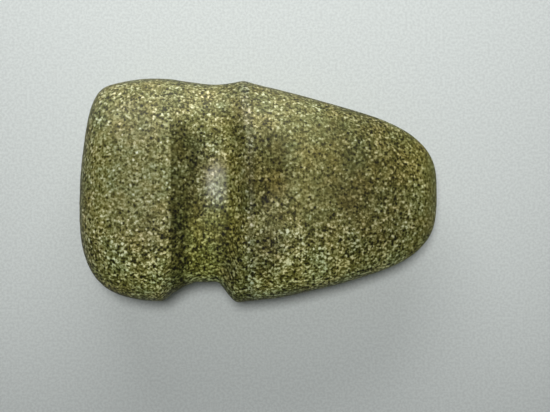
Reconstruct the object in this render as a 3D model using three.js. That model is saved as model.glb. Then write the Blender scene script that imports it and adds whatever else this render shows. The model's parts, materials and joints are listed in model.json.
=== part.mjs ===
// A grooved stone axe head, pecked and ground from one cobble of speckled diorite.
// It lies on one face: +X runs from the poll to the cutting edge, +Y to the edge that is
// grooved only lightly, and +Z up. The origin is on the ground, under the middle of its box.
import * as THREE from "three";

// Sizes are in millimetres, and places along the stone are measured from the end of the poll.
const LENGTH = 147;
const SHOULDER_AT = 32; // widest part of the poll
const RIDGE_AT = 68; // raised lip where the blade begins

// How far each edge and face stands off the spine, the line from end to end, before the corners
// are rounded. A higher fullness keeps the blade wide or thick for longer.
const UPPER_EDGE = { poll: 44.5, shoulder: 49.8, ridge: 48.5, bit: 26.8, fullness: 1.11 };
const LOWER_EDGE = { poll: 43.4, shoulder: 42, ridge: 41.8, bit: 20.5, fullness: 1.55 };
const FACE = { poll: 24.4, shoulder: 27.4, ridge: 25.9, bit: 6, fullness: 2.3 };

// How each end closes: the length of the rounding, and the power of its curve.
const POLL_UPPER_CORNER = { length: 12, power: 3.4 };
const POLL_LOWER_CORNER = { length: 41, power: 3 };
const POLL_FACE_CORNER = { length: 19, power: 2.3 };
const BIT_UPPER_CORNER = { length: 42, power: 3.7 };
const BIT_LOWER_CORNER = { length: 24, power: 3.1 };
const BIT_FACE_CORNER = { length: 7, power: 2 };
const POLL_LEAN = 3; // the end of the poll falls back this far towards the upper edge

// The cross-section is a superellipse: 2 is an ellipse, and more is squarer.
const SECTION = { pollPower: 2.6, bitPower: 2.15 };

// The hafting groove on each line round the stone: where it starts and ends, how long its two
// walls are, how deep it is, and how high the lip on the blade side stands.
const GROOVE = {
  upper: { from: 38, to: 67.5, pollWall: 17.5, bladeWall: 12, depth: 1.5, lip: 0.5 },
  face: { from: 39.8, to: 70.8, pollWall: 14.5, bladeWall: 9.5, depth: 6.4, lip: 1.2 },
  lower: { from: 34.2, to: 64.8, pollWall: 15, bladeWall: 9.2, depth: 7.6, lip: 0.5 },
};
const LIP_REACH = 4.5; // the lip dies away over this length on either side
const HOLLOW = { behindRidge: 10, reach: 7, depth: 0.5 }; // worn dip behind the ridge

const GROUND_OFF = 0.8; // depth of the worn flats that the stone lies on
const SEAT = { length: 9.5, depth: 0.5 }; // flat in the bottom of the notch, where a haft bears

const RING_POINTS = 60;
const END_RINGS = 12;
const END_LENGTH = 24; // the rings are closer together over this length at either end
const END_CROWDING = 0.8; // a lower power crowds them less towards the tip
const GROOVE_STEP = 1.5; // spacing of the rings in and beside the groove
const BODY_STEP = 3.2;

const STONE = new THREE.MeshStandardMaterial({ color: 0x6b6b44, roughness: 0.5, metalness: 0 });

const lerp = THREE.MathUtils.lerp;
const clamp01 = (t) => Math.min(1, Math.max(0, t));
const ease = (t) => clamp01(t) ** 2 * (3 - 2 * clamp01(t));
const signedPower = (v, power) => Math.sign(v) * Math.abs(v) ** power;

// A round hump, 1 high at its middle and 0 beyond its reach.
const hump = (distance, reach) => ease(1 - Math.abs(distance) / reach);

// The share of the full size that is left near a rounded end.
function rounding(fromEnd, corner) {
  const t = clamp01(1 - fromEnd / corner.length);
  return (1 - t ** corner.power) ** (1 / corner.power);
}

// An edge or face as three runs: up to the shoulder, across to the ridge, and down the blade.
function alongStone(x, size) {
  if (x < SHOULDER_AT) return lerp(size.poll, size.shoulder, Math.sin((Math.PI / 2) * (x / SHOULDER_AT)));
  if (x < RIDGE_AT) return lerp(size.shoulder, size.ridge, (x - SHOULDER_AT) / (RIDGE_AT - SHOULDER_AT));
  return lerp(size.ridge, size.bit, ((x - RIDGE_AT) / (LENGTH - RIDGE_AT)) ** size.fullness);
}

// The smooth body without its groove: the reach of each edge and the half thickness at x.
function bodyAt(x) {
  const sized = (size, pollCorner, bitCorner) =>
    alongStone(x, size) * rounding(x, pollCorner) * rounding(LENGTH - x, bitCorner);
  return {
    upper: sized(UPPER_EDGE, POLL_UPPER_CORNER, BIT_UPPER_CORNER),
    lower: sized(LOWER_EDGE, POLL_LOWER_CORNER, BIT_LOWER_CORNER),
    half: sized(FACE, POLL_FACE_CORNER, BIT_FACE_CORNER),
    power: lerp(SECTION.pollPower, SECTION.bitPower, x / LENGTH),
  };
}

// The groove's sizes at an angle round the section, between its three lines.
function grooveAt(angle) {
  const towardsUpper = ease(Math.cos(angle));
  const towardsLower = ease(-Math.cos(angle));
  const blend = (key) =>
    GROOVE.face[key] * (1 - towardsUpper - towardsLower) +
    GROOVE.upper[key] * towardsUpper +
    GROOVE.lower[key] * towardsLower;
  return {
    from: blend("from"),
    to: blend("to"),
    pollWall: blend("pollWall"),
    bladeWall: blend("bladeWall"),
    depth: blend("depth"),
    lip: blend("lip"),
  };
}

// How far the surface is cut in, or stands proud where the value is negative.
function carvedDepth(x, angle) {
  const groove = grooveAt(angle);
  const pollSide = Math.sin((Math.PI / 2) * clamp01((x - groove.from) / groove.pollWall));
  const bladeSide = ease((groove.to - x) / groove.bladeWall);
  const onFace = Math.abs(Math.sin(angle));
  return (
    groove.depth * pollSide * bladeSide -
    groove.lip * hump(x - groove.to, LIP_REACH) +
    HOLLOW.depth * onFace * hump(x - RIDGE_AT - HOLLOW.behindRidge, HOLLOW.reach)
  );
}

// One point of the surface, with the spine of the stone along X.
function surfacePoint(x, angle) {
  const body = bodyAt(x);
  const cos = Math.cos(angle);
  const reach = cos > 0 ? body.upper : body.lower;
  const across = signedPower(cos, 2 / body.power);
  const up = signedPower(Math.sin(angle), 2 / body.power);
  const outward = new THREE.Vector2(
    signedPower(across, body.power - 1) / reach,
    signedPower(up, body.power - 1) / body.half,
  ).normalize();
  const depth = carvedDepth(x, angle);
  const y = reach * across - depth * outward.x;
  const lean = POLL_LEAN * clamp01(y / UPPER_EDGE.poll) * clamp01(1 - x / END_LENGTH);
  return new THREE.Vector3(x + lean, y, body.half * up - depth * outward.y);
}

// The places of the rings: crowded at both ends and in the groove.
function ringPlaces() {
  const places = [];
  const end = (k) => END_LENGTH * (1 - Math.cos(((Math.PI / 2) * k) / END_RINGS) ** END_CROWDING);
  const run = (from, to, step) => {
    const count = Math.max(1, Math.round((to - from) / step));
    for (let k = 1; k <= count; k++) places.push(from + ((to - from) * k) / count);
  };
  const grooveStart = Math.min(GROOVE.upper.from, GROOVE.face.from, GROOVE.lower.from) - GROOVE_STEP;
  const grooveEnd = Math.max(GROOVE.upper.to, GROOVE.face.to, GROOVE.lower.to) + LIP_REACH;
  for (let k = 1; k <= END_RINGS; k++) places.push(end(k));
  run(END_LENGTH, grooveStart, BODY_STEP);
  run(grooveStart, grooveEnd, GROOVE_STEP);
  run(grooveEnd, LENGTH - END_LENGTH, BODY_STEP);
  for (let k = END_RINGS - 1; k >= 1; k--) places.push(LENGTH - end(k));
  return places;
}

// The flat in the bottom of the notch, as a plane that nothing goes beyond for the seat's length.
function flattenNotch(points) {
  const { from, to, pollWall, bladeWall } = GROOVE.lower;
  const middle = (from + pollWall + to - bladeWall) / 2;
  const seat = surfacePoint(middle, Math.PI).y + SEAT.depth;
  for (const p of points) if (Math.abs(p.x - middle) < SEAT.length / 2) p.y = Math.max(p.y, seat);
}

// The worn flats on the underside, all in the plane of the ground.
function flattenUnderside(points) {
  const ground = Math.min(...points.map((p) => p.z)) + GROUND_OFF;
  for (const p of points) p.z = Math.max(p.z, ground);
}

// The closed skin: rings of points along the stone, with one point at either end.
function stoneGeometry() {
  const places = ringPlaces();
  const points = [];
  for (const x of places)
    for (let j = 0; j < RING_POINTS; j++)
      points.push(surfacePoint(x, (2 * Math.PI * (j + 0.5)) / RING_POINTS));
  flattenNotch(points);
  flattenUnderside(points);
  const pollPole = points.push(new THREE.Vector3(0, 0, 0)) - 1;
  const bitPole = points.push(new THREE.Vector3(LENGTH, 0, 0)) - 1;

  const index = [];
  const at = (ring, j) => ring * RING_POINTS + (j % RING_POINTS);
  const last = places.length - 1;
  for (let j = 0; j < RING_POINTS; j++) {
    index.push(pollPole, at(0, j + 1), at(0, j));
    for (let ring = 0; ring < last; ring++) {
      index.push(at(ring, j), at(ring, j + 1), at(ring + 1, j + 1));
      index.push(at(ring, j), at(ring + 1, j + 1), at(ring + 1, j));
    }
    index.push(bitPole, at(last, j), at(last, j + 1));
  }
  const geometry = new THREE.BufferGeometry().setFromPoints(points);
  geometry.setIndex(index);
  return geometry;
}

// Moves the stone so that the middle of its box stands over the origin, on the ground.
function setOnGround(geometry) {
  geometry.computeBoundingBox();
  const { min, max } = geometry.boundingBox;
  geometry.translate(-(min.x + max.x) / 2, -(min.y + max.y) / 2, -min.z);
  geometry.computeVertexNormals();
  return geometry;
}

const axeHead = new THREE.Mesh(setOnGround(stoneGeometry()), STONE);
axeHead.name = "axe_head";

const axe = new THREE.Group();
axe.add(axeHead);
export default axe;
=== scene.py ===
# A grooved stone axe head, pecked and ground from a cobble of speckled diorite, lying on one face.
# It is laid out as an add-on and is run as a script. Lengths are in metres, but patches in millimetres.
import json
import math

import bpy
import numpy as np
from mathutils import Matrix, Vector

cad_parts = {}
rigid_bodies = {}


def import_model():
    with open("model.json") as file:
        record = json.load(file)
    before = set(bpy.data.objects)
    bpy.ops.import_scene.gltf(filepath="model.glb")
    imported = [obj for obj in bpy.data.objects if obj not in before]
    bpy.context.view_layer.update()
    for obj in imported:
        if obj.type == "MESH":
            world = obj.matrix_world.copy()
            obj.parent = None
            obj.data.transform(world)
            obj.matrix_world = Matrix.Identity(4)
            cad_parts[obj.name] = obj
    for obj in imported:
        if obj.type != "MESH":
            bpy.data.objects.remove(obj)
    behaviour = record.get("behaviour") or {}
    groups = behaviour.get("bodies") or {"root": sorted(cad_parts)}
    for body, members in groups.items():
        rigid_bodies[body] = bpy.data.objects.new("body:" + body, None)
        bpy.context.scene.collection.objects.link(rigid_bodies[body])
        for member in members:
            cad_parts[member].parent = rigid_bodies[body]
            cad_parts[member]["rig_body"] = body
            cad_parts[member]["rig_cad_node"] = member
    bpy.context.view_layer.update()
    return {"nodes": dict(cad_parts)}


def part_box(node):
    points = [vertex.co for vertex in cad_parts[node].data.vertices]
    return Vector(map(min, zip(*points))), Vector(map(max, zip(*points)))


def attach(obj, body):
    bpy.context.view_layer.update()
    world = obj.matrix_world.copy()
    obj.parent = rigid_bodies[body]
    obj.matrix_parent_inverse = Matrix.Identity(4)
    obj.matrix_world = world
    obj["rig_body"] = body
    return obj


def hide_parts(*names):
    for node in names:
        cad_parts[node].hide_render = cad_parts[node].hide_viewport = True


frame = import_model()

bl_info = {
    "name": "Stone axe head",
    "version": (1, 0, 0),
    "blender": (4, 5, 0),
    "location": "View3D > Sidebar > Axe head",
    "description": "Dresses a grooved stone axe head in speckled, ground diorite",
    "category": "Object",
}

MM = 0.001
BODY = "root"
STONE_NODE = "axe_head"

# The hafting groove's two walls on the faces, along X from the middle of the stone.
POLL_WALL = (-34.2 * MM, -24.5 * MM)
WALL_SLANT = 0.14  # the foot of the poll's wall runs aslant by this share of Y
BLADE_WALL = (-13.5 * MM, -4.7 * MM)
WALL_STEEPNESS = 2.6  # how soon a sloping face counts as a wall
CRISP = 0.9 * MM  # the poll's wall starts, and the blade's ends, within this length
FADE = 2.5 * MM  # the other ends of the walls fade over this length
GROOVE_UPPER_END = (18.0 * MM, 34.0 * MM)  # the wall's painted shade and dirt die away over this stretch of Y
BLADE_WALL_SHADE_AND_DIRT = 0.4  # the blade's wall gets less painted shade and dirt than the poll's

# The worn strips beside the walls, along X too; they are brightened like the shoulders, partly as painted
# sheen.
POLL_BRINK = (-39.5 * MM, -35.2 * MM)  # the pale edge above the poll's wall: worn, and partly painted sheen
RIDGE_CREST = (-4.6 * MM, -1.2 * MM)  # the worn crest of the lip where the blade begins
CREST_BEND = 2.6 * MM  # the crest runs this far back towards the poll at its upper end
CREST_BENDS_AT = (18.0 * MM, 42.0 * MM)  # over this stretch of Y
BRINK_WEAR_AND_SHEEN = 0.5  # the brink is brightened less than the shoulders, and the crest less than that: partly wear, partly painted sheen
CREST_WEAR_AND_SHEEN = 0.1

# The two ends, along X.
POLL_END = (-70.0 * MM, -50.0 * MM)  # the pecking of the poll's end dies away over this stretch
BIT = (25.0 * MM, 55.0 * MM)  # the blade turns into the bit over this stretch
CUTTING_EDGE = (55.0 * MM, 65.0 * MM)  # the smooth band along the cutting edge begins here

# The slopes over which the masks rise. A tilt is 0 where the surface is level and 1 where it is
# upright, and a lean is how far it looks towards one edge.
SHOULDER_TILT = (0.008, 0.07)
STEEP_TILT = (0.45, 0.85)
FLANK_TILT = (0.4, 0.8)
CUTTING_EDGE_TILT = (0.08, 0.3)
FACE_TILT = (0.9, 0.4)
UPPER_LEAN = (0.08, 0.45)
LOWER_LEAN = (0.1, 0.7)

MERGE_WITHIN = 0.001 * MM  # points of the solid's skin that are this near are one
FLAT_QUAD = math.radians(40)  # two triangles become a quad up to this bend
SQUARE_QUAD = math.radians(60)  # and up to this much out of square
FLOOR_PECKING = 0.6  # the groove's floor is less pecked than its walls
PECK_LEVELS = 4


def colour(name, description, default):
    """A linear colour that a user can change."""
    return bpy.props.FloatVectorProperty(
        name=name, description=description, subtype="COLOR", size=3, min=0, max=2, default=default
    )


def length(name, description, default):
    return bpy.props.FloatProperty(
        name=name, description=description, unit="LENGTH", min=0, precision=5, default=default
    )


def share(name, description, default):
    return bpy.props.FloatProperty(
        name=name, description=description, subtype="FACTOR", min=0, max=1, default=default
    )


class StoneForm(bpy.types.PropertyGroup):
    """Sizes of the ground surface's relief."""

    fineness: bpy.props.IntProperty(
        name="Fineness",
        description="How many times the solid's skin is divided",
        min=1,
        max=2,
        default=2,
    )
    swell_size: length("Swell size", "Length of the slow swells left by hand grinding", 19 * MM)
    swell_height: length("Swell height", "Height of the slow swells from low to high", 0.7 * MM)
    facet_size: length("Facet size", "Length of the small ground facets", 6 * MM)
    facet_height: length("Facet height", "Height of the small ground facets", 0.16 * MM)
    peck_size: length("Peck size", "Width of the dents left by the hammerstone", 2.4 * MM)
    peck_depth: length("Peck depth", "Depth of those dents in the groove and on the poll", 0.16 * MM)


class StoneFinish(bpy.types.PropertyGroup):
    """Minerals, patina, painted sheen and shade, and polish."""

    grain: length("Grain", "Width of a mineral grain", 1.06 * MM)
    pit: colour("Pit", "Dark weathered pits", (0.012, 0.011, 0.001))
    hornblende: colour("Hornblende", "Dark mineral", (0.045, 0.043, 0.003))
    olive: colour("Olive grain", "Middle mineral", (0.138, 0.136, 0.036))
    feldspar: colour("Feldspar", "Pale mineral", (0.335, 0.33, 0.165))
    cream: colour("Cream feldspar", "Palest grains", (0.75, 0.735, 0.56))
    rosy: colour("Brown tint", "Tint where the stone is warmest", (1.10, 0.99, 0.72))
    greenish: colour("Green tint", "Tint where the stone is greenest", (0.92, 1.0, 0.90))
    # Partly wear, partly painted sheen: brightening of the rounded shoulders and of the strips beside the
    # groove.
    wear_and_sheen: colour("Fresh edge", "Brightening of the rounded edges, where it is worn", (1.18, 1.18, 1.18))
    # Painted sheen: a pale colour along the upper edge, which faces the light.
    painted_sheen: colour("Bleached skin", "Pale weathered skin along the upper edge", (0.55, 0.55, 0.46))
    # Painted shade: darker colour on the steep flanks, which get less light.
    shaded_flank: colour("Flank", "Darker skin on the steep flanks", (0.62, 0.63, 0.60))
    stain: colour("Stain", "Brown staining on the blade and the poll", (0.50, 0.475, 0.39))
    moss: colour("Green tinge", "Yellow-green tinge in the groove", (0.74, 0.77, 0.50))
    gold: colour("Golden tinge", "Ochre skin on the bit and at the ridge", (1.04, 0.99, 0.78))
    lower: colour("Lower tinge", "Green skin along the lower edge", (0.97, 1.04, 0.83))
    # Painted sheen and highlight: a greyer, bluer colour on the poll's face and on the rubbed spot.
    grey: colour("Grey tinge", "Greyer skin on the poll and the rubbed spot", (1.02, 1.03, 1.28))
    # Painted sheen and highlight: a paler colour on the poll's face, at the groove's upper end and on the
    # rubbed spot.
    pale: colour("Pale skin", "Paler skin on the poll and at the groove's upper end", (1.15, 1.16, 1.19))
    crest: colour("Crest", "Greyer skin on the ridge's worn crest", (0.86, 0.88, 1.04))
    # Painted shade, with some dirt: darkens the groove's walls.
    groove_shade_and_dirt: colour("Grime", "Dark patina in the groove's walls", (0.39, 0.395, 0.26))
    polish: share("Polish", "Roughness of the ground surface", 0.66)
    wear_polish: share("Worn polish", "Roughness of the spot that the haft rubbed", 0.36)


class StageLook(bpy.types.PropertyGroup):
    """Camera, floor and light."""

    camera_height: length("Camera height", "Height of the camera over the floor", 450 * MM)
    view_width: length("View width", "Width of the floor that the camera sees", 241.7 * MM)
    floor: colour("Floor", "Pale floor", (0.69, 0.73, 0.71))
    key_power: bpy.props.FloatProperty(
        name="Key power",
        description="Power of the lamp over the stone",
        unit="POWER",
        min=0,
        default=11.5,
    )
    fill_power: bpy.props.FloatProperty(
        name="Fill power",
        description="Power of the soft light beyond the upper edge",
        unit="POWER",
        min=0,
        default=1.55,
    )
    sky: bpy.props.FloatProperty(
        name="Sky", description="Strength of the even light all round", min=0, default=0.12
    )


# The stone's mesh

def only(thing):
    """Selects one object alone and makes it active."""
    bpy.ops.object.select_all(action="DESELECT")
    thing.select_set(True)
    bpy.context.view_layer.objects.active = thing


def copy_of_node(name, new_name):
    """A loose copy of a CAD node, with its triangles merged into one skin of quads."""
    node = frame["nodes"][name]
    copy = node.copy()
    copy.data = node.data.copy()
    copy.name = copy.data.name = new_name
    copy.parent = None
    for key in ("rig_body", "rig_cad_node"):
        del copy[key]
    bpy.context.scene.collection.objects.link(copy)
    only(copy)
    bpy.ops.object.mode_set(mode="EDIT")
    bpy.ops.mesh.select_all(action="SELECT")
    bpy.ops.mesh.remove_doubles(threshold=MERGE_WITHIN)
    bpy.ops.mesh.tris_convert_to_quads(face_threshold=FLAT_QUAD, shape_threshold=SQUARE_QUAD)
    bpy.ops.object.mode_set(mode="OBJECT")
    copy.data.materials.clear()
    return copy


def apply_modifier(thing, kind, **settings):
    """Adds a modifier with these settings and applies it at once."""
    modifier = thing.modifiers.new(kind.title(), kind)
    for key, value in settings.items():
        setattr(modifier, key, value)
    only(thing)
    bpy.ops.object.modifier_apply(modifier=modifier.name)


def clouds(name, size, depth):
    """Soft noise that pushes the surface in and out."""
    noise = bpy.data.textures.new(name, "CLOUDS")
    noise.noise_scale = size
    noise.noise_depth = depth
    noise.noise_basis = "ORIGINAL_PERLIN"
    return noise


def dents(name, size):
    """Round dents, packed side by side."""
    cells = bpy.data.textures.new(name, "VORONOI")
    cells.noise_scale = size
    cells.distance_metric = "DISTANCE_SQUARED"
    cells.noise_intensity = 1.0
    return cells


def push(thing, texture, height, group=""):
    """Moves the surface along its normals by a texture, half of the height each way."""
    apply_modifier(
        thing,
        "DISPLACE",
        texture=texture,
        texture_coords="LOCAL",
        strength=height,
        mid_level=0.5,
        vertex_group=group,
    )


def coordinates_and_normals(mesh):
    """The mesh's points and normals, as two arrays."""
    points = np.zeros(len(mesh.vertices) * 3, np.float32)
    normals = np.zeros(len(mesh.vertices) * 3, np.float32)
    mesh.vertices.foreach_get("co", points)
    mesh.vertex_normals.foreach_get("vector", normals)
    return points.reshape(-1, 3), normals.reshape(-1, 3)


def ramp(values, start, end):
    """0 before start and 1 after end, with a smooth rise between them."""
    t = np.clip((values - start) / (end - start), 0, 1)
    return t * t * (3 - 2 * t)


def window(values, span, fade):
    """1 inside the span and 0 outside it, fading at both ends."""
    return ramp(values, span[0] - fade, span[0] + fade) * (1 - ramp(values, span[1] - fade, span[1] + fade))


def tilt_of(normals):
    """How far the surface tilts: 0 where it is level and 1 where it is upright."""
    return 1 - np.abs(normals[:, 2])


def facing(normals):
    """1 on the two faces, fading to 0 down the sides."""
    return ramp(tilt_of(normals), *FACE_TILT)


def along_crest(points):
    """X measured from the straight part of the ridge's crest."""
    return points[:, 0] + CREST_BEND * ramp(points[:, 1], *CREST_BENDS_AT)


def below_groove_upper_end(points):
    """1 on most of the groove, fading to 0 at its upper end."""
    return 1 - ramp(points[:, 1], *GROOVE_UPPER_END)


def poll_wall_mask(points, normals):
    """1 on the groove's wall at the poll, where the surface falls towards the groove's floor."""
    x, y = points[:, 0], points[:, 1]
    brink = ramp(x, POLL_WALL[0] - CRISP, POLL_WALL[0] + CRISP)
    foot = 1 - ramp(x - WALL_SLANT * y, POLL_WALL[1] - FADE, POLL_WALL[1] + FADE)
    return np.clip(normals[:, 0] * WALL_STEEPNESS, 0, 1) * brink * foot * below_groove_upper_end(points)


def blade_wall_mask(points, normals):
    """1 on the groove's wall at the blade, from the floor up to the ridge's crest."""
    x = along_crest(points)
    foot = ramp(x, BLADE_WALL[0] - FADE, BLADE_WALL[0] + FADE)
    crest = 1 - ramp(x, BLADE_WALL[1] - CRISP, BLADE_WALL[1] + CRISP)
    return foot * crest * facing(normals)


def wall_mask(points, normals):
    """How much painted shade and dirt the groove's walls get at each point."""
    blade_wall = BLADE_WALL_SHADE_AND_DIRT * blade_wall_mask(points, normals)
    return np.maximum(poll_wall_mask(points, normals), blade_wall)


def floor_mask(points):
    """1 on the groove's floor."""
    return window(points[:, 0], (POLL_WALL[1], BLADE_WALL[0]), FADE)


def brink_mask(points):
    """1 on the strip of the poll's faces just above the groove's wall, brightened partly by wear and partly
    as painted sheen.
    """
    return window(points[:, 0], POLL_BRINK, CRISP) * below_groove_upper_end(points)


def crest_mask(points, normals):
    """1 on the worn crest of the ridge, on the faces; it is brightened a little, partly as painted sheen.
    """
    return window(along_crest(points), RIDGE_CREST, CRISP) * facing(normals)


def shoulder_mask(normals):
    """1 on the rounded shoulders between the faces and the edges, and 0 on both."""
    tilt = tilt_of(normals)
    return ramp(tilt, *SHOULDER_TILT) * (1 - ramp(tilt, *STEEP_TILT))


def flank_mask(points, normals):
    """1 on the steep flanks of the poll and the blade, and 0 on the faces and the bit."""
    return ramp(tilt_of(normals), *FLANK_TILT) * (1 - ramp(points[:, 0], *BIT))


def cutting_edge_mask(points, normals):
    """1 on the smooth band along the cutting edge."""
    return ramp(tilt_of(normals), *CUTTING_EDGE_TILT) * ramp(points[:, 0], *CUTTING_EDGE)


def painted_upper_sheen_mask(points, normals):
    """1 where the poll leans towards the upper edge, which faces the light, fading to 0 on the faces and
    the bit; painted sheen goes here.
    """
    return ramp(normals[:, 1], *UPPER_LEAN) * (1 - ramp(points[:, 0], 0.0, BIT[1]))


def lower_edge_mask(normals):
    """1 where the surface leans towards the lower edge."""
    return ramp(-normals[:, 1], *LOWER_LEAN)


def store_masks(mesh):
    """Keeps each mask as an attribute that the material reads."""
    points, normals = coordinates_and_normals(mesh)
    walls = wall_mask(points, normals)
    crest = crest_mask(points, normals)
    strips = np.maximum(BRINK_WEAR_AND_SHEEN * brink_mask(points), CREST_WEAR_AND_SHEEN * crest)
    masks = {
        "groove_wall": walls,
        "crest": crest,
        "shoulder": np.maximum(shoulder_mask(normals), strips) * (1 - walls),
        "shaded_flank": flank_mask(points, normals),
        "cutting_edge": cutting_edge_mask(points, normals),
        "painted_upper_sheen": painted_upper_sheen_mask(points, normals),
        "lower_edge": lower_edge_mask(normals),
    }
    for name, values in masks.items():
        attribute = mesh.attributes.new(name, "FLOAT", "POINT")
        attribute.data.foreach_set("value", values.astype(np.float32))


def pecked_group(stone):
    """A vertex group of what was pecked and never ground smooth: the groove and the poll's end."""
    points, normals = coordinates_and_normals(stone.data)
    pecked = np.maximum(wall_mask(points, normals), FLOOR_PECKING * floor_mask(points))
    pecked = np.maximum(pecked, 1 - ramp(points[:, 0], *POLL_END))
    group = stone.vertex_groups.new(name="pecked")
    for level in range(1, PECK_LEVELS + 1):
        chosen = np.flatnonzero(np.round(pecked * PECK_LEVELS) == level)
        group.add(chosen.tolist(), level / PECK_LEVELS, "REPLACE")
    return group


def grind(stone, form):
    """Swells and facets left by grinding, and the hammer dents where the stone is only pecked."""
    apply_modifier(stone, "SUBSURF", levels=form.fineness, render_levels=form.fineness)
    push(stone, clouds("grinding swells", form.swell_size, 1), form.swell_height)
    push(stone, clouds("grinding facets", form.facet_size, 0), form.facet_height)
    pecked = pecked_group(stone)
    push(stone, dents("hammer dents", form.peck_size), form.peck_depth, pecked.name)
    stone.vertex_groups.clear()


def keep_in_box(stone):
    """Keeps the skin inside the solid's box, so nothing goes below the ground it lies on."""
    points, _ = coordinates_and_normals(stone.data)
    low, high = (np.array(corner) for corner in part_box(STONE_NODE))
    points = np.clip(points, low, high)
    stone.data.vertices.foreach_set("co", points.ravel())
    stone.data.update()


class AXEHEAD_OT_stone(bpy.types.Operator):
    """Grinds the stone's surface from the solid, and gives it its minerals and polish"""

    bl_idname = "axehead.stone"
    bl_label = "Ground stone"

    def execute(self, context):
        stone = copy_of_node(STONE_NODE, "ground_stone")
        grind(stone, context.scene.stone_form)
        keep_in_box(stone)
        store_masks(stone.data)
        only(stone)
        bpy.ops.object.shade_smooth()
        stone.data.materials.append(diorite(context.scene.stone_finish))
        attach(stone, BODY)
        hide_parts(STONE_NODE)
        return {"FINISHED"}


# The stone's material

# Patches on the stone, in millimetres from its origin: each one's middle, how far it reaches along
# X, Y and Z, how ragged its edge is, and how strong it is. A tint starts with its colour's name.
STAINS = (
    ((43, 2, 30), (31, 46, 46), 0.55, 0.93),  # the blade
    ((3, 5, 52), (15, 26, 20), 0.5, 1.0),  # the hollow behind the ridge
    ((3.5, -23, 47), (11, 17, 20), 0.5, 0.8),  # its lower end
    ((-39, -15, 45), (12, 13, 20), 0.5, 0.6),  # the poll's face above the notch
    ((-12, -25, 43), (9, 15, 20), 0.5, 0.8),  # the groove's floor towards the notch
    ((-23.5, 2, 46), (6, 25, 20), 0.5, 0.6),  # the foot of the poll's wall
    ((-7.5, 22, 46), (5, 18, 20), 0.5, 0.6),  # below the ridge's upper end
    ((-60, -34, 27), (26, 26, 26), 0.6, 0.5),  # the poll's lower corner
)
CALM_PATCHES = (
    ((-50, 8, 50), (26, 34, 30), 0.6, 0.28),  # the poll's face
    ((24, 12, 46), (30, 34, 30), 0.6, 0.3),  # the blade's face
    ((20, 31, 36), (34, 14, 30), 0.6, 0.15),  # the blade's upper edge
    ((-16, 4, 47), (9, 12, 13), 0.5, 0.25),  # where the haft rubbed
)
# The grey and pale tints are painted sheen and painted highlight; the others are the stone's own tinges.
TINTS = (
    ("moss", (-20, -22, 44), (24, 24, 24), 0.8, 1.0),  # the groove's lower half
    ("grey", (-50, 8, 50), (25, 32, 30), 0.8, 1.0),  # the poll's face: painted sheen
    ("pale", (-50, 8, 50), (25, 32, 30), 0.8, 0.7),  # the poll's face: painted sheen
    ("pale", (-18, 32, 42), (14, 15, 20), 0.7, 1.0),  # the groove's upper end: painted sheen
    ("grey", (-16, 4, 47), (10, 13, 13), 0.5, 1.0),  # where the haft rubbed: painted highlight
    ("pale", (-15.5, 1, 47), (8, 12, 13), 0.5, 0.9),  # where the haft rubbed: painted highlight
    ("gold", (4, 4, 50), (9, 22, 20), 0.6, 0.7),  # behind the ridge
    ("gold", (-10.5, 4, 45), (6, 36, 20), 0.6, 0.8),  # the blade's wall
    ("gold", (54, 8, 25), (26, 26, 25), 0.7, 1.0),  # the bit
    ("gold", (-62, -34, 27), (20, 18, 27), 0.7, 1.0),  # the poll's lower corner
)
RUBBED_PATCH = ((-16, 2, 47), (9, 13, 13), 0.4, 1.0)
DULL_PATCH = ((3, 8, 52), (14, 14, 14), 0.4, 1.0)
PATCH_RAGS = 9 * MM  # size of the noise that makes a patch's edge ragged
PATCH_EDGE = (1.0, 0.35)  # a patch fades in from the end of its reach to this share of it

# The parts of the grains' brightness: each one's size as a share of the grain, and its weight.
GRAIN_PARTS = {
    "clots": (1.3, 1.5),
    "pale spots": (1.1, 0.4),
    "dark spots": (1.0, -0.48),
    "threads": (1.1, 0.1),
    "crystals": (0.8, 0.25),
    "fine": (0.4, 0.25),
}
START_BRIGHTNESS = -0.54  # the parts are added to this
BEND_SIZE = 0.9  # size of the noise that makes the grains uneven, as a share of the grain
BEND_BY = 0.8  # how far it pushes them, as a share of the grain
CLOT_DETAIL = (1.0, 0.55)  # detail and roughness of the clots' noise
FINE_DETAIL = (2.0, 0.6)
PALE_SPARSE = 0.25  # this share of the pale spots doesn't show
DARK_SPARSE = 0.4
SPOT_EDGE = (0.75, 0.3)  # a spot fades in between these distances from its middle
THREAD_WIDTH = 0.09  # how far from its middle the noise still shows as a thread
NOISE_MIDDLE = 0.5

# How much the grains stand out: more towards the lower edge, and less where the stone is calm.
MIDDLE_BRIGHTNESS = 0.42  # the brightness that the contrast leaves alone
COARSER_FROM_TO = (-8 * MM, -30 * MM)  # along Y
CONTRAST = (0.87, 1.16)
CALM_FLANK = 0.15
CALM_CUTTING_EDGE = 0.45

# The brightness at which each mineral shows, and the noise at which each tint does. Here and
# below, a noise is given as its size, its detail and its roughness.
MINERAL_STOPS = (
    (0.05, "pit"),
    (0.25, "hornblende"),
    (0.48, "olive"),
    (0.72, "feldspar"),
    (0.98, "cream"),
)
HUE_STOPS = ((0.36, "rosy"), (0.64, "greenish"))
HUE_NOISE = (11 * MM, 5.0, 0.75)
MOTTLE_NOISE = (16 * MM, 3.0, 0.55)
MOTTLE = (0.25, 0.6, 0.6, 1.0)  # the noise from low to high, and at each the strength of the patina, the painted sheen and the painted shade
PAINTED_SHEEN_SHARE = 0.08  # how much of the painted sheen on the upper edge shows

# How each thing changes the roughness.
SCUFF_NOISE = (5 * MM, 4.0, 0.6)
SCUFFS_FROM = -0.08  # the scuffs start this far below the polish
SCUFFS = 0.2
PALE_GRAIN_GLOSS = 0.1
DULLING = 0.2

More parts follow.
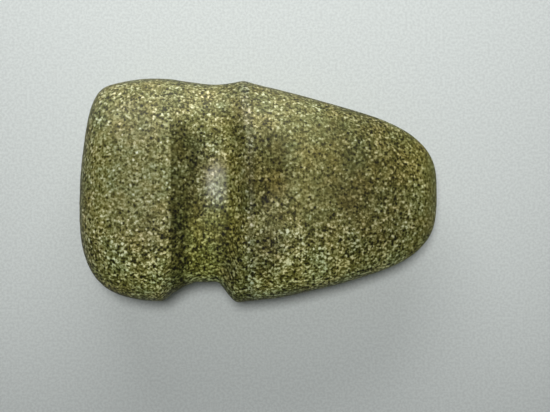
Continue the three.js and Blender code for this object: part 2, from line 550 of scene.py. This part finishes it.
# The bump's parts and their heights.
PIT_SIZE = 0.8 * MM
PIT_EDGE = 0.45
FINE_NOISE = (0.25 * MM, 3.0, 0.6)
GRAIN_HEIGHT = 0.6
PIT_HEIGHT = 0.25
FINE_HEIGHT = 0.3
BUMP = {"Strength": 0.7, "Distance": 0.09 * MM}
SPECULAR = 0.25

# Places of the colour mixing node's sockets
MIX_SHARE, MIX_A, MIX_B, MIX_RESULT = 0, 6, 7, 2


class Nodes:
    """A node tree with short ways to add and join nodes."""

    def __init__(self, material):
        material.use_nodes = True
        self.tree = material.node_tree
        self.tree.nodes.clear()

    def add(self, kind, inputs=None, **settings):
        node = self.tree.nodes.new(kind)
        for key, value in settings.items():
            setattr(node, key, value)
        for key, value in (inputs or {}).items():
            self.set(node.inputs[key], value)
        return node

    def set(self, socket, value):
        if isinstance(value, bpy.types.NodeSocket):
            self.tree.links.new(value, socket)
        else:
            socket.default_value = value

    def math(self, operation, a, b=0.0, clamp=False):
        node = self.add("ShaderNodeMath", {0: a, 1: b}, operation=operation, use_clamp=clamp)
        return node.outputs[0]

    def noise(self, place, size, detail=2.0, rough=0.5, output="Fac"):
        """Soft noise whose patches are about this size."""
        inputs = {"Vector": place, "Scale": 1 / size, "Detail": detail, "Roughness": rough}
        return self.add("ShaderNodeTexNoise", inputs).outputs[output]

    def cells(self, place, size):
        """Cells of about this size, each with its own random colour."""
        return self.add("ShaderNodeTexVoronoi", {"Vector": place, "Scale": 1 / size})

    def ramp(self, value, stops):
        """A colour ramp from (place, colour) stops."""
        node = self.add("ShaderNodeValToRGB", {0: value})
        elements = node.color_ramp.elements
        for place, _ in stops[2:]:
            elements.new(place)
        for element, (place, shade) in zip(elements, stops):
            element.position = place
            element.color = (*shade, 1.0)
        return node.outputs["Color"]

    def step(self, value, low, high, to_low=0.0, to_high=1.0):
        """A smooth rise of the value between low and high."""
        inputs = {"Value": value, "From Min": low, "From Max": high, "To Min": to_low, "To Max": to_high}
        return self.add("ShaderNodeMapRange", inputs, interpolation_type="SMOOTHSTEP").outputs["Result"]

    def mix(self, kind, share_of_b, a, b):
        """Mixes two colours."""
        node = self.add("ShaderNodeMix", data_type="RGBA", blend_type=kind)
        self.set(node.inputs[MIX_SHARE], share_of_b)
        for socket, shade in ((MIX_A, a), (MIX_B, b)):
            linked = isinstance(shade, bpy.types.NodeSocket)
            self.set(node.inputs[socket], shade if linked else (*shade, 1.0))
        return node.outputs[MIX_RESULT]

    def vector(self, operation, a, b=None, **inputs):
        """Vector arithmetic with two vectors, or with one and a named input."""
        if b is not None:
            inputs[1] = b
        return self.add("ShaderNodeVectorMath", {0: a, **inputs}, operation=operation)

    def attribute(self, name):
        return self.add("ShaderNodeAttribute", attribute_name=name).outputs["Fac"]


def bent(nodes, place, size, amount):
    """The place, pushed about by noise, so that what reads it has uneven edges."""
    noise = nodes.noise(place, size, 1.0, output="Color")
    centred = nodes.vector("SUBTRACT", noise, (NOISE_MIDDLE,) * 3).outputs[0]
    push_by = nodes.vector("SCALE", centred, Scale=amount).outputs[0]
    return nodes.vector("ADD", place, push_by).outputs[0]


def random_of(nodes, cells):
    """One random number for each cell."""
    return nodes.add("ShaderNodeSeparateColor", {0: cells.outputs["Color"]}).outputs[0]


def patch(nodes, place, centre, reach, ragged, strength):
    """A ragged patch on the stone: its strength in the middle and 0 outside it."""
    off = nodes.vector("SUBTRACT", place, tuple(c * MM for c in centre)).outputs[0]
    off = nodes.vector("DIVIDE", off, tuple(r * MM for r in reach)).outputs[0]
    away = nodes.vector("LENGTH", off).outputs["Value"]
    rags = nodes.math("SUBTRACT", nodes.noise(place, PATCH_RAGS), NOISE_MIDDLE)
    away = nodes.math("ADD", away, nodes.math("MULTIPLY", rags, ragged))
    return nodes.step(away, *PATCH_EDGE, 0.0, strength)


def strongest(nodes, place, patches, least=0.0):
    """The strongest of these patches at each place, or the least where that is stronger."""
    for one in patches:
        least = nodes.math("MAXIMUM", least, patch(nodes, place, *one))
    return least


def spots(nodes, place, size, sparse):
    """Soft round spots, one in each cell and each of its own strength; few are strong when sparse."""
    cells = nodes.cells(place, size)
    spot = nodes.step(cells.outputs["Distance"], *SPOT_EDGE)
    return nodes.math("MULTIPLY", spot, nodes.step(random_of(nodes, cells), sparse, 1.0))


def threads(nodes, place, size):
    """Thin winding lines of pale mineral between the grains."""
    off_middle = nodes.math("SUBTRACT", nodes.noise(place, size, 1.0), NOISE_MIDDLE)
    return nodes.step(nodes.math("ABSOLUTE", off_middle), THREAD_WIDTH, 0.0)


def total(nodes, start, *terms):
    """The start plus each (value, weight) term."""
    for value, weight in terms:
        start = nodes.math("ADD", start, nodes.math("MULTIPLY", value, weight))
    return start


def brightness(nodes, place, grain):
    """The grains' brightness, from soft clots, spots, threads and crystals that interlock."""
    uneven = bent(nodes, place, BEND_SIZE * grain, BEND_BY * grain)
    size = {name: part[0] * grain for name, part in GRAIN_PARTS.items()}
    value = {
        "clots": nodes.noise(uneven, size["clots"], *CLOT_DETAIL),
        "pale spots": spots(nodes, uneven, size["pale spots"], PALE_SPARSE),
        "dark spots": spots(nodes, uneven, size["dark spots"], DARK_SPARSE),
        "threads": threads(nodes, uneven, size["threads"]),
        "crystals": random_of(nodes, nodes.cells(uneven, size["crystals"])),
        "fine": nodes.noise(place, size["fine"], *FINE_DETAIL),
    }
    terms = [(value[name], weight) for name, (_, weight) in GRAIN_PARTS.items()]
    return total(nodes, START_BRIGHTNESS, *terms)


def contrast(nodes, place):
    """How much the grains stand out at each place."""
    across = nodes.add("ShaderNodeSeparateXYZ", {0: place}).outputs["Y"]
    coarse = nodes.step(across, *COARSER_FROM_TO, *CONTRAST)
    shaded_flank = nodes.math("MULTIPLY", nodes.attribute("shaded_flank"), CALM_FLANK)
    least = total(nodes, shaded_flank, (nodes.attribute("cutting_edge"), CALM_CUTTING_EDGE))
    calm = strongest(nodes, place, CALM_PATCHES, least)
    return nodes.math("MULTIPLY", coarse, nodes.math("SUBTRACT", 1.0, calm))


def stops_of(finish, stops):
    """The stops with each colour's name replaced by the colour."""
    return [(place, getattr(finish, name)) for place, name in stops]


def minerals(nodes, place, finish):
    """Interlocked grains: their colour, and a height from weathered dark grains to proud pale ones."""
    off_middle = nodes.math("SUBTRACT", brightness(nodes, place, finish.grain), MIDDLE_BRIGHTNESS)
    value = nodes.math("MULTIPLY", off_middle, contrast(nodes, place))
    value = nodes.math("ADD", value, MIDDLE_BRIGHTNESS)
    grains = nodes.ramp(value, stops_of(finish, MINERAL_STOPS))
    tint = nodes.ramp(nodes.noise(place, *HUE_NOISE), stops_of(finish, HUE_STOPS))
    return nodes.mix("MULTIPLY", 1.0, grains, tint), value


def patina_sheen_and_shade(nodes, place, finish, stone):
    """Edges brightened by wear and painted sheen, painted shade on the flanks, painted sheen on the upper
    edge, stains, tinges (the grey and pale ones painted sheen and highlight), and painted shade with dirt
    in the groove's walls, over the stone's colour.
    """
    patchy = nodes.step(nodes.noise(place, *MOTTLE_NOISE), *MOTTLE)

    def unevenly(strength):
        return nodes.math("MULTIPLY", strength, patchy)

    # Partly wear, partly painted sheen on the rounded shoulders and the strips.
    toned = nodes.mix("MULTIPLY", unevenly(nodes.attribute("shoulder")), stone, finish.wear_and_sheen)
    # Painted shade on the steep flanks.
    toned = nodes.mix("MULTIPLY", nodes.attribute("shaded_flank"), toned, finish.shaded_flank)
    # Painted sheen: paler colour on the upper edge, which faces the light.
    painted_sheen = nodes.math("MULTIPLY", unevenly(nodes.attribute("painted_upper_sheen")), PAINTED_SHEEN_SHARE)
    toned = nodes.mix("MIX", painted_sheen, toned, finish.painted_sheen)
    toned = nodes.mix("MULTIPLY", unevenly(strongest(nodes, place, STAINS)), toned, finish.stain)
    # The grey and pale tints are painted sheen and painted highlight.
    for tint, *spot in TINTS:
        toned = nodes.mix("MULTIPLY", patch(nodes, place, *spot), toned, getattr(finish, tint))
    toned = nodes.mix("MULTIPLY", nodes.attribute("crest"), toned, finish.crest)
    toned = nodes.mix("MULTIPLY", nodes.attribute("lower_edge"), toned, finish.lower)
    # Painted shade, with some dirt, in the groove's walls.
    return nodes.mix("MULTIPLY", unevenly(nodes.attribute("groove_wall")), toned, finish.groove_shade_and_dirt)


def gloss(nodes, place, finish, mineral):
    """Roughness: duller where it is pecked or dirty, smoother on pale grains and where the haft rubbed."""
    scuffs = nodes.noise(place, *SCUFF_NOISE)
    rubbed = patch(nodes, place, *RUBBED_PATCH)
    dull = nodes.math("MAXIMUM", patch(nodes, place, *DULL_PATCH), nodes.attribute("groove_wall"))
    rubbed_by = finish.wear_polish - finish.polish
    terms = ((scuffs, SCUFFS), (mineral, -PALE_GRAIN_GLOSS), (rubbed, rubbed_by))
    rough = total(nodes, finish.polish + SCUFFS_FROM, *terms)
    return nodes.math("ADD", rough, nodes.math("MULTIPLY", dull, DULLING), clamp=True)


def relief(nodes, place, mineral):
    """Bump: soft dark grains weather lower than the pale ones, with fine pits between them."""
    pitted = nodes.step(nodes.cells(place, PIT_SIZE).outputs["Distance"], 0.0, PIT_EDGE)
    fine = nodes.noise(place, *FINE_NOISE)
    height = total(nodes, 0.0, (mineral, GRAIN_HEIGHT), (pitted, PIT_HEIGHT), (fine, FINE_HEIGHT))
    return nodes.add("ShaderNodeBump", {**BUMP, "Height": height}).outputs["Normal"]


def diorite(finish):
    """Speckled green-brown diorite, ground and rubbed smooth."""
    material = bpy.data.materials.new("ground diorite")
    nodes = Nodes(material)
    place = nodes.add("ShaderNodeTexCoord").outputs["Object"]
    speckle, mineral = minerals(nodes, place, finish)
    inputs = {
        "Base Color": patina_sheen_and_shade(nodes, place, finish, speckle),
        "Roughness": gloss(nodes, place, finish, mineral),
        "Normal": relief(nodes, place, mineral),
        "Specular IOR Level": SPECULAR,
    }
    shader = nodes.add("ShaderNodeBsdfPrincipled", inputs)
    nodes.add("ShaderNodeOutputMaterial", {"Surface": shader.outputs[0]})
    return material


# The stage

CAMERA_OVER = (6.7 * MM, -6.3 * MM)
SENSOR = 36.0 * MM
CAMERA_RANGE = (0.01, 10.0)
FLOOR_WIDTH = 3.0
FLOOR_NOISE = (1.1 * MM, 2.0, 0.6)
FLOOR_SPECKS = (0.35, 0.65, 0.0, 0.12)  # the noise from low to high, and how dark it makes the floor
FLOOR_ROUGHNESS = 0.9
KEY_AT = (-0.02, 0.07, 0.70)
KEY_TOWARDS = (0.01, 0.12, 0.0)
KEY_RADIUS = 0.07
KEY_CONE = math.radians(62)
FILL_AT = (-0.03, 0.45, 0.27)
FILL_SIZE = (0.45, 0.24)
STAGE_MIDDLE = (0.0, 0.0, 0.0)
SKY_COLOUR = (0.95, 0.98, 1.0)
BLACK = (0.0, 0.0, 0.0)


def pale_floor(look):
    """A pale, matt floor."""
    bpy.ops.mesh.primitive_plane_add(size=FLOOR_WIDTH, location=STAGE_MIDDLE)
    floor = bpy.context.object
    floor.name = "floor"
    material = bpy.data.materials.new("pale floor")
    nodes = Nodes(material)
    place = nodes.add("ShaderNodeTexCoord").outputs["Object"]
    specks = nodes.step(nodes.noise(place, *FLOOR_NOISE), *FLOOR_SPECKS)
    shade = nodes.mix("MULTIPLY", specks, look.floor, BLACK)
    inputs = {"Base Color": shade, "Roughness": FLOOR_ROUGHNESS}
    shader = nodes.add("ShaderNodeBsdfPrincipled", inputs)
    nodes.add("ShaderNodeOutputMaterial", {"Surface": shader.outputs[0]})
    floor.data.materials.append(material)


def aim(light, place, target):
    """Turns a light at this place towards the target."""
    light.rotation_euler = (Vector(target) - Vector(place)).to_track_quat("-Z", "Y").to_euler()


def key_light(power):
    """The lamp over the stone, whose beam fades towards the lower edge of the view."""
    bpy.ops.object.light_add(type="SPOT", location=KEY_AT)
    lamp = bpy.context.object
    lamp.name = "key light"
    lamp.data.energy = power
    lamp.data.shadow_soft_size = KEY_RADIUS
    lamp.data.spot_size = KEY_CONE
    lamp.data.spot_blend = 1.0
    aim(lamp, KEY_AT, KEY_TOWARDS)


def fill_light(power):
    """A broad soft light from beyond the upper edge."""
    bpy.ops.object.light_add(type="AREA", location=FILL_AT)
    panel = bpy.context.object
    panel.name = "fill light"
    panel.data.shape = "RECTANGLE"
    panel.data.size, panel.data.size_y = FILL_SIZE
    panel.data.energy = power
    aim(panel, FILL_AT, STAGE_MIDDLE)


def even_sky(strength):
    """A dim, even light all round."""
    world = bpy.data.worlds.new("even sky")
    bpy.context.scene.world = world
    world.use_nodes = True
    background = world.node_tree.nodes["Background"]
    background.inputs["Color"].default_value = (*SKY_COLOUR, 1.0)
    background.inputs["Strength"].default_value = strength


def camera_above(look):
    """The camera looks straight down, with the stone's upper edge at the top."""
    bpy.ops.object.camera_add(location=(*CAMERA_OVER, look.camera_height), rotation=(0, 0, 0))
    camera = bpy.context.object
    camera.data.sensor_width = SENSOR / MM
    camera.data.lens = SENSOR / MM * look.camera_height / look.view_width
    camera.data.clip_start, camera.data.clip_end = CAMERA_RANGE
    bpy.context.scene.camera = camera


class AXEHEAD_OT_stage(bpy.types.Operator):
    """Lays the pale floor, hangs the soft light and sets up the camera"""

    bl_idname = "axehead.stage"
    bl_label = "Stage"

    def execute(self, context):
        look = context.scene.stage_look
        bpy.ops.object.select_all(action="DESELECT")
        pale_floor(look)
        key_light(look.key_power)
        fill_light(look.fill_power)
        even_sky(look.sky)
        camera_above(look)
        context.scene.view_settings.view_transform = "Standard"
        return {"FINISHED"}


class AXEHEAD_PT_panel(bpy.types.Panel):
    """Sizes, colours and steps of the axe head"""

    bl_idname = "AXEHEAD_PT_panel"
    bl_label = "Axe head"
    bl_space_type = "VIEW_3D"
    bl_region_type = "UI"
    bl_category = "Axe head"

    def draw(self, context):
        for group, operator in GROUPS.items():
            box = self.layout.box()
            settings = getattr(context.scene, group)
            for key in settings.__annotations__:
                box.prop(settings, key)
            if operator:
                box.operator(operator)


GROUPS = {"stone_form": None, "stone_finish": "axehead.stone", "stage_look": "axehead.stage"}
SETTINGS = {"stone_form": StoneForm, "stone_finish": StoneFinish, "stage_look": StageLook}
CLASSES = (*SETTINGS.values(), AXEHEAD_OT_stone, AXEHEAD_OT_stage, AXEHEAD_PT_panel)


def register():
    for cls in CLASSES:
        bpy.utils.register_class(cls)
    for name, group in SETTINGS.items():
        setattr(bpy.types.Scene, name, bpy.props.PointerProperty(type=group))


def unregister():
    for name in SETTINGS:
        delattr(bpy.types.Scene, name)
    for cls in reversed(CLASSES):
        bpy.utils.unregister_class(cls)


def main():
    register()
    bpy.ops.axehead.stone()
    bpy.ops.axehead.stage()


if __name__ == "__main__":
    main()
